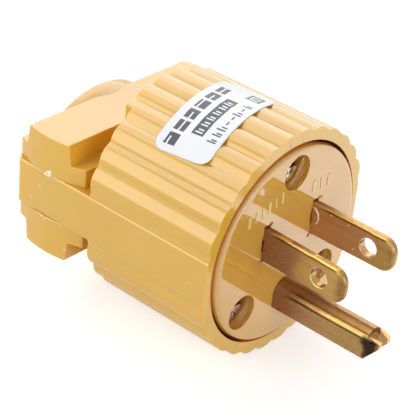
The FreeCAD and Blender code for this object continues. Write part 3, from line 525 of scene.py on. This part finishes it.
def blade_place(y, z):
    """Where a point of the node's outline lies on the blade with the smaller hole."""
    rise = z - BLADE_HEIGHT
    if math.hypot(y - HOLE_AT, rise) < NODE_HOLE + 0.05:
        share = HOLE_RADIUS / NODE_HOLE
        return HOLE_AT + (y - HOLE_AT) * share, BLADE_HEIGHT + rise * share
    if y < NODE_TIP + NODE_ROUND + 0.01:
        grow = TIP_ROUND / NODE_ROUND
        side = math.copysign(1, rise)
        old = side * (BLADE_HALF - NODE_ROUND)
        new = side * (BLADE_HALF - TIP_ROUND)
        return (TIP + TIP_ROUND + (y - NODE_TIP - NODE_ROUND) * grow,
                BLADE_HEIGHT + new + (rise - old) * grow)
    return y, z


def make_blade(node, lean):
    """A blade with its rounder tip corners, its smaller hole and its lean at the tip."""
    shape = bmesh.new()
    shape.from_mesh(NODES[node].data)
    bmesh.ops.remove_doubles(shape, verts=shape.verts, dist=WELD_DISTANCE)
    everything = shape.verts[:] + shape.edges[:] + shape.faces[:]
    bmesh.ops.bisect_plane(shape, geom=everything, dist=1e-7, plane_co=(0, 0, 0),
                           plane_no=(0, 1, 0))
    for vertex in shape.verts:
        x, y, z = vertex.co / MM
        if y < 0:
            y, z = blade_place(y, z)
            vertex.co = Vector((x + lean * y / TIP, y, z)) * MM
    mesh = bpy.data.meshes.new(f"{node}_strip")
    shape.to_mesh(mesh)
    shape.free()
    mesh.materials.append(NODES[node].data.materials[0])
    blade = bpy.data.objects.new(f"{node}_strip", mesh)
    bpy.context.scene.collection.objects.link(blade)
    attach(blade, "root")
    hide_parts(node)
    soften(blade, 0.12, segments=2)


CROWN_RADIUS, CROWN_HALF, CROWN_FOOT, CROWN_STEPS = 17.0, 10.3, 7.3, 40
CROWN_SECTIONS = ((40.6, 11.2), (43.0, 11.85), (45.02, 11.85))


def make_clamp_crown():
    """The arched rise at the rear of the upper clamp half, through sections of depth and top."""
    points, faces = [], []
    for y, top in CROWN_SECTIONS:
        for k in range(CROWN_STEPS + 1):
            x = CROWN_HALF - 2 * CROWN_HALF * k / CROWN_STEPS
            z = top - CROWN_RADIUS + math.sqrt(CROWN_RADIUS ** 2 - x ** 2)
            points.append((x, y, z))
        points += [(-CROWN_HALF, y, CROWN_FOOT), (CROWN_HALF, y, CROWN_FOOT)]
    total = CROWN_STEPS + 3
    for start in (0, total):
        for k in range(total):
            n = (k + 1) % total
            faces.append((start + k, start + k + total, start + n + total, start + n))
    faces += [tuple(range(total)), tuple(reversed(range(2 * total, 3 * total)))]
    crown = add_piece("upper_clamp_crown", points, faces, "clamp", "clamp_plastic")
    soften(crown, 0.5)


# The label: a skewed sheet with round corners that dips a little between the ribs. Its angle
# and depth are where its middle lies on the barrel.

RIB_RADIUS, RIB_PITCH = 3.7, 12.3
FIRST_RIB = 90 - 5.5 * RIB_PITCH
LABEL_FLOOR = 20.73
LABEL_LIFT, LABEL_THICKNESS = 0.005, 0.12
LABEL_HALF_LENGTH, LABEL_HALF_WIDTH, LABEL_CORNER = 10.8, 5.4, 1.95
LABEL_ANGLE, LABEL_DEPTH, LABEL_SKEW = 101.25, 14.98, math.radians(5.6)
LABEL_TAPER, LABEL_BOW = 0.035, 0.16
LABEL_STEP = 0.15


def rib_surface(angle):
    """Radius of the barrel's ribs, or of the sheet that bridges them, at an angle in degrees."""
    place = (angle - FIRST_RIB) / RIB_PITCH
    away = math.radians((place - round(place)) * RIB_PITCH)
    centre = CREST - RIB_RADIUS
    reach = RIB_RADIUS ** 2 - (centre * math.sin(away)) ** 2
    on_rib = centre * math.cos(away) + math.sqrt(max(reach, 0))
    return max(on_rib, LABEL_FLOOR)


def label_point(along, across, lift):
    """Where a point of the flat label lies, a lift above the ribs that carry it."""
    share = along / LABEL_HALF_LENGTH
    across = across * (1 - LABEL_TAPER * share) - LABEL_BOW * (1 - share ** 2)
    arc = math.radians(LABEL_ANGLE) * CREST
    arc += -along * math.cos(LABEL_SKEW) + across * math.sin(LABEL_SKEW)
    depth = LABEL_DEPTH + along * math.sin(LABEL_SKEW) + across * math.cos(LABEL_SKEW)
    angle = arc / CREST
    radius = rib_surface(math.degrees(angle)) + lift
    return (radius * math.cos(angle), depth, radius * math.sin(angle))


# Generic print, as boxes (start, end) along the label and (low, high) across it. The notches
# stay bare, and the bars stand inside a notch.

HEADING = [-9.5 + 2.85 * i for i in range(6)]
NUMBERS = [-5.7 + 1.6 * i for i in range(6)]
UNITS = [-6.6 + 1.45 * i for i in range(8)]
PRINT_BLOCKS = [(a, a + 2.3, 1.75, 3.95) for a in HEADING]
PRINT_BLOCKS += [(-6.2, 4.1, -1.6, 0.65), (6.3, 9.0, -4.1, -1.4)]
PRINT_NOTCHES = [(a, a + (2.3 if i % 2 else 1.5), 2.7 if i % 3 else 3.1, 3.0 if i % 3 else 3.4)
                 for i, a in enumerate(HEADING)]
PRINT_NOTCHES += [(6.75, 8.55, -3.65, -1.85)]
for a in NUMBERS:
    PRINT_NOTCHES += [(a, a + 0.3, -1.15, 0.2), (a + 0.6, a + 0.9, -1.15, -0.2)]
for i, a in enumerate(UNITS):
    if i in (3, 4, 6):
        PRINT_BLOCKS += [(a, a + 0.9, -3.7, -3.4)]
    else:
        PRINT_BLOCKS += [(a, a + 0.3, -4.35, -2.7), (a + 0.5, a + 0.8, -4.35, -3.3)]
PRINT_BARS = [(7.2, 7.6, -3.4, -2.1), (7.9, 8.2, -3.4, -2.1)]


def inside(rows, along, across):
    return any(a <= along <= b and c <= across <= d for a, b, c, d in rows)


def is_printed(along, across):
    if inside(PRINT_BARS, along, across):
        return True
    return inside(PRINT_BLOCKS, along, across) and not inside(PRINT_NOTCHES, along, across)


def make_label():
    """The sheet as a grid of small cells, each printed or bare, with an underside and a border."""
    columns = round(2 * LABEL_HALF_LENGTH / LABEL_STEP)
    rows = round(2 * LABEL_HALF_WIDTH / LABEL_STEP)
    points, faces, marks = [], [], []
    straight = LABEL_HALF_LENGTH - LABEL_CORNER
    spots = []
    for i in range(columns + 1):
        along = -LABEL_HALF_LENGTH + 2 * LABEL_HALF_LENGTH * i / columns
        beyond = min(max(abs(along) - straight, 0), LABEL_CORNER)
        half = LABEL_HALF_WIDTH - LABEL_CORNER + math.sqrt(LABEL_CORNER ** 2 - beyond ** 2)
        spots += [(along, half * (2 * j / rows - 1)) for j in range(rows + 1)]
    for lift in (LABEL_THICKNESS, LABEL_LIFT):
        points += [label_point(along, across, lift) for along, across in spots]
    stride = rows + 1
    under = len(spots)
    for i in range(columns):
        for j in range(rows):
            a, b = i * stride + j, (i + 1) * stride + j
            middle = [(spots[a][k] + spots[b + 1][k]) / 2 for k in (0, 1)]
            faces.append((a, b, b + 1, a + 1))
            marks.append(int(is_printed(*middle)))
            faces.append((under + a, under + a + 1, under + b + 1, under + b))
            marks.append(0)
    border = [i * stride for i in range(columns + 1)]
    border += [columns * stride + j for j in range(1, rows + 1)]
    border += [i * stride + rows for i in range(columns - 1, -1, -1)]
    border += [j for j in range(rows - 1, 0, -1)]
    for a, b in zip(border, border[1:] + border[:1]):
        faces.append((a, under + a, under + b, b))
        marks.append(0)
    sheet = add_piece("label_sheet", points, faces, "label", "label_paper")
    sheet.data.materials.append(MATERIALS["label_print"])
    sheet.data.polygons.foreach_set("material_index", marks)
    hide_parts("rating_label")


# Raised strokes, flash, chips and crumbs

STROKE_ROWS = (((-11.3, 8.9), (1.62, 0.30), 6), ((5.1, 9.4), (1.95, -0.10), 3))
STROKE_SIZES = ((1.1, 0.30), (0.95, 0.16), (1.1, 0.22))
STROKE_LEAN, STROKE_SPREAD, STROKE_SINK = 0.1, 0.12, 0.02
STROKE_RISE = (0, 0.10, 0)


def make_face_marks():
    """Low raised strokes beside the wells, where such a face has its rating. Their pale colour is
    a painted highlight.

    Each row is where it starts, its step and how many strokes it has, across and up the face.
    """
    rows = []
    for start, step, count in STROKE_ROWS:
        for i in range(count):
            tilt = STROKE_LEAN + RNG.uniform(-STROKE_SPREAD, STROKE_SPREAD)
            along = Vector((-math.sin(tilt), 0, math.cos(tilt)))
            cross = Vector((math.cos(tilt), 0, math.sin(tilt)))
            centre = (start[0] + step[0] * i, -STROKE_SINK, start[1] + step[1] * i)
            length, width = STROKE_SIZES[i % 3]
            rows.append((centre, along * length, cross * width, STROKE_RISE))
    piece = add_piece("face_marks", *bars(rows), "mark", "insert_plastic", smooth=False)
    bevel = piece.modifiers.new("bevel", "BEVEL")
    bevel.width = 0.05 * MM
    bevel.segments = 2


RIM_FRONT = 0.8
MOULD_LINES = ((-121.0, 18.7, 20.3), (86.0, 18.8, 20.4), (95.5, 18.8, 20.2))


def make_mould_lines():
    """Fine ridges that the mould's joints left on the rim: an angle, an inner and outer radius."""
    rows = []
    for angle, inner, outer in MOULD_LINES:
        turn = math.radians(angle)
        out = Vector((math.cos(turn), 0, math.sin(turn)))
        side = Vector((-math.sin(turn), 0, math.cos(turn)))
        centre = out * (inner + outer) / 2 + Vector((0, RIM_FRONT, 0))
        rows.append((centre, out * (outer - inner) / 2, side * 0.04, (0, 0.03, 0)))
    add_piece("mould_lines", *bars(rows), "shell", "shell_plastic", smooth=False)


SEAM_START, SEAM_LENGTH, SEAM_STEPS, SEAM_HEIGHT = 33.4, 6.4, 25, -4.27
SEAM_SAG, SEAM_DROP, SEAM_DROP_STEPS = 0.10, 0.45, (15, 16, 19)
SEAM_THIN, SEAM_SPREAD, SEAM_THICK_STEPS = 0.05, 0.08, range(7, 22)


def make_seam_flash():
    """A ragged thin edge where the lower clamp half meets the arm."""
    path, radii = [], []
    for i in range(SEAM_STEPS + 1):
        y = SEAM_START + SEAM_LENGTH * i / SEAM_STEPS
        out = max(math.sqrt(ARM_RADIUS ** 2 - (y - ARM_CENTRE) ** 2), ARM_RADIUS - 0.15)
        sag = SEAM_SAG * RNG.random() + (SEAM_DROP if i in SEAM_DROP_STEPS else 0)
        path.append((-out + 0.04, y, SEAM_HEIGHT - sag))
        share = 1 if i in SEAM_THICK_STEPS else 0.4
        radii.append(SEAM_THIN + SEAM_SPREAD * RNG.random() * share)
    add_piece("seam_flash", *tube(path, radii), "crumb", "clamp_plastic")


SCRATCHES = (("scratch_upper", (39.33, 1.27), (38.55, 0.44)),
             ("scratch_lower", (41.47, -1.73), (40.44, -2.26)))
SCRATCH_RADII = (0.03, 0.06, 0.05, 0.06, 0.04, 0.02)


def make_scratches():
    """Two raised scratches on the arm, from one depth and height to another."""
    last = len(SCRATCH_RADII) - 1
    for name, (y0, z0), (y1, z1) in SCRATCHES:
        path = [(-ARM_RADIUS + 0.14, y0 + (y1 - y0) * k / last,
                 z0 + (z1 - z0) * k / last + 0.1 * (k % 2)) for k in range(last + 1)]
        add_piece(name, *tube(path, SCRATCH_RADII), "crumb", "shell_plastic")


# Crumbs, chips and specks. Each has its rings and sides, and each lump a centre and half sizes.
CRUMBS = (
    ("gate_mark", "crumb", "clamp_plastic", (10, 16),
     (((-19.68, 37.0, 4.45), (0.36, 0.80, 0.72)), ((-19.76, 36.5, 5.0), (0.2, 0.35, 0.3)),
      ((-19.78, 37.6, 4.1), (0.18, 0.4, 0.25)))),
    ("gate_core", "mark", "clamp_plastic", (6, 10), (((-19.98, 37.1, 4.5), (0.13, 0.30, 0.28)),)),
    ("flecks", "crumb", "shell_plastic", (6, 10),
     (((-19.76, 4.09, -0.87), (0.05, 0.22, 0.12)), ((-18.95, 18.0, 8.0), (0.12, 0.3, 0.12)),
      ((-19.7, 32.41, -8.77), (0.1, 0.35, 0.12)), ((-19.75, 0.9, 4.4), (0.14, 0.2, 0.16)))),
    ("dark_specks", "dark_speck", "clamp_plastic", (6, 10),
     (((-14.6, 32.5, 8.0), (0.16, 0.06, 0.12)),)),
    ("slot_chips", "crumb", "insert_plastic", (6, 10),
     (((6.31, -0.1, 0.01), (0.3, 0.22, 0.35)), ((5.7, -0.05, -0.35), (0.25, 0.15, 0.22)),
      ((-11.13, 3.5, -11.2), (0.2, 0.15, 0.2)))),
)
# Cream lumps on the far blade that stand in for glints: painted highlights
BLADE_PAINTED_GLINTS = (
    ("blade_painted_glints", "crumb", "insert_plastic", (6, 10),
     (((5.57, -4.00, 5.29), (0.05, 0.20, 0.10)), ((5.57, -7.54, 5.11), (0.05, 0.16, 0.12)),
      ((5.57, -9.10, 1.19), (0.05, 0.18, 0.10)))),
)


def make_crumbs(table):
    """A piece of uneven lumps for each row of the table."""
    for name, material, slot, (rings, sides), rows in table:
        add_piece(name, *lumps(rows, rings, sides), material, slot)


# Where each torn point starts, across and up the face, and which way it goes
TEARS = (((7.2, 6.3), (0.8, 0.15)), ((-5.5, 6.3), (0.4, 0.35)),
         ((5.5, -0.4), (-0.5, -0.2)), ((-7.2, -0.25), (-0.7, -0.1)),
         ((-7.2, 1.6), (-0.25, 0.1)), ((-7.2, 4.3), (-0.2, -0.1)),
         ((5.5, 2.0), (-0.2, 0.15)), ((5.45, 4.6), (-0.2, 0.0)))
TEAR_RADII = (0.17, 0.15, 0.03)
TEAR_FOOT, TEAR_BEND, TEAR_POINT = 0.05, -0.12, -0.10


def make_slot_tears():
    """Torn points of plastic at the corners of the blade slots."""
    points, faces = [], []
    for (x, z), (dx, dz) in TEARS:
        path = [(x - 0.5 * dx, TEAR_FOOT, z - 0.5 * dz), (x, TEAR_BEND, z),
                (x + dx, TEAR_POINT, z + dz)]
        more, polygons = tube(path, TEAR_RADII, sides=6)
        faces += [tuple(v + len(points) for v in polygon) for polygon in polygons]
        points += more
    add_piece("slot_tears", points, faces, "tear", "insert_plastic")


THREAD_PATH = ((5.45, -0.05, 5.2), (5.3, -0.9, 5.25), (5.2, -1.6, 4.6), (5.2, -1.75, 3.6),
               (5.25, -1.5, 2.7), (5.35, -1.0, 2.35))
THREAD_RADII = (0.12, 0.2, 0.15, 0.13, 0.14, 0.05)


def make_thread():
    """A curl of moulding flash at the root of the far blade."""
    add_piece("flash_thread", *tube(THREAD_PATH, THREAD_RADII), "crumb", "insert_plastic")


make_blade("line_blade", -0.6)
make_blade("neutral_blade", 0.0)
make_clamp_crown()
make_label()
make_face_marks()
make_mould_lines()
make_seam_flash()
make_scratches()
make_crumbs(CRUMBS)
make_slot_tears()
make_thread()
make_crumbs(BLADE_PAINTED_GLINTS)


# Stage, light and camera

FLOOR_REACH, FLOOR_COLOUR = 1.2, (0.74, 0.75, 0.76, 1)
AMBIENT = 0.21
LIGHTS = (
    ("back_panel", (0.63, 0.54, 0.56), 0.55, (0.52, 0.42), 1.5, (1, 1, 1)),
    ("overhead", (0.0, 0.53, 0.83), 0.55, (0.34, 0.34), 0.6, (1, 1, 1)),
    ("key", (-0.80, 0.42, 0.42), 0.45, (0.40, 0.40), 1.12, (1.0, 0.995, 0.92)),
    ("fill", (-0.25, -0.95, 0.12), 0.6, (0.6, 0.6), 3.4, (0.98, 1.0, 1.10)),
)
LIGHTS_CENTRE = Vector((0, 0.012, 0))
CAMERA_LENS, CAMERA_SENSOR = 132.6, 36
CAMERA_PLACE = Vector((-176.168, -122.570, 137.297))
CAMERA_TURN = (58.258, -4.9665, -48.4085)


def make_floor():
    """A pale floor, white to the camera far from the object, that keeps the object's shadow.

    In reflections its own brightness rises from the near side to the far side.
    """
    mesh = bpy.data.meshes.new("floor")
    level = CAD_BOX[0].z
    corners = ((-1, -1), (1, -1), (1, 1), (-1, 1))
    mesh.from_pydata([(x * FLOOR_REACH, y * FLOOR_REACH, level) for x, y in corners], [],
                     [(0, 1, 2, 3)])
    floor = bpy.data.objects.new("floor", mesh)
    bpy.context.scene.collection.objects.link(floor)
    g = Graph("floor")
    path = g.tree.nodes.new("ShaderNodeLightPath")
    across = g.axis("X")
    away = g.radius(across, 0.0, g.axis("Y"), 0.0)
    seen = g.times(path.outputs["Is Camera Ray"], g.span(away, 100, 400, 0.55, 0.92))
    mirrored = g.times(path.outputs["Is Glossy Ray"], g.span(across, -20, 30, 0.30, 1.15))
    g.set(Base_Color=FLOOR_COLOUR, Roughness=0.9, Specular_IOR_Level=0.0,
          Emission_Color=(1, 1, 1, 1), Emission_Strength=g.math("MAXIMUM", seen, mirrored))
    mesh.materials.append(g.material)


def make_world():
    """A white surround to the camera and in reflections, and a dim one as light."""
    world = bpy.data.worlds.new("world")
    bpy.context.scene.world = world
    world.use_nodes = True
    tree = world.node_tree
    background = tree.nodes["Background"]
    path = tree.nodes.new("ShaderNodeLightPath")
    seen = path.outputs["Is Camera Ray"]
    for kind in ("Is Glossy Ray", "Is Transmission Ray"):
        either = tree.nodes.new("ShaderNodeMath")
        either.operation = "MAXIMUM"
        tree.links.new(seen, either.inputs[0])
        tree.links.new(path.outputs[kind], either.inputs[1])
        seen = either.outputs[0]
    strength = tree.nodes.new("ShaderNodeMapRange")
    strength.inputs["To Min"].default_value = AMBIENT
    strength.inputs["To Max"].default_value = 1.0
    tree.links.new(seen, strength.inputs["Value"])
    tree.links.new(strength.outputs[0], background.inputs["Strength"])
    background.inputs["Color"].default_value = (1, 1, 1, 1)


def make_light(name, direction, distance, size, power, colour):
    """A soft panel that faces the object from a direction. Its sizes are in metres."""
    data = bpy.data.lights.new(name, "AREA")
    data.shape = "RECTANGLE"
    data.size, data.size_y = size
    data.energy = power
    data.color = colour
    lamp = bpy.data.objects.new(name, data)
    bpy.context.scene.collection.objects.link(lamp)
    back = Vector(direction).normalized()
    lamp.location = back * distance + LIGHTS_CENTRE
    lamp.rotation_mode = "QUATERNION"
    lamp.rotation_quaternion = back.to_track_quat("Z", "Y")


def make_camera():
    """The photograph's viewpoint, from a perspective fit of the pins to their standard sizes."""
    data = bpy.data.cameras.new("camera")
    data.sensor_width = CAMERA_SENSOR
    data.lens = CAMERA_LENS
    data.clip_start, data.clip_end = 0.01, 10
    camera = bpy.data.objects.new("camera", data)
    bpy.context.scene.collection.objects.link(camera)
    camera.location = CAMERA_PLACE * MM
    camera.rotation_euler = Euler([math.radians(turn) for turn in CAMERA_TURN])
    bpy.context.scene.camera = camera


make_floor()
make_world()
for light in LIGHTS:
    make_light(*light)
make_camera()
bpy.context.scene.view_settings.view_transform = "Standard"

bpy.context.view_layer.update()
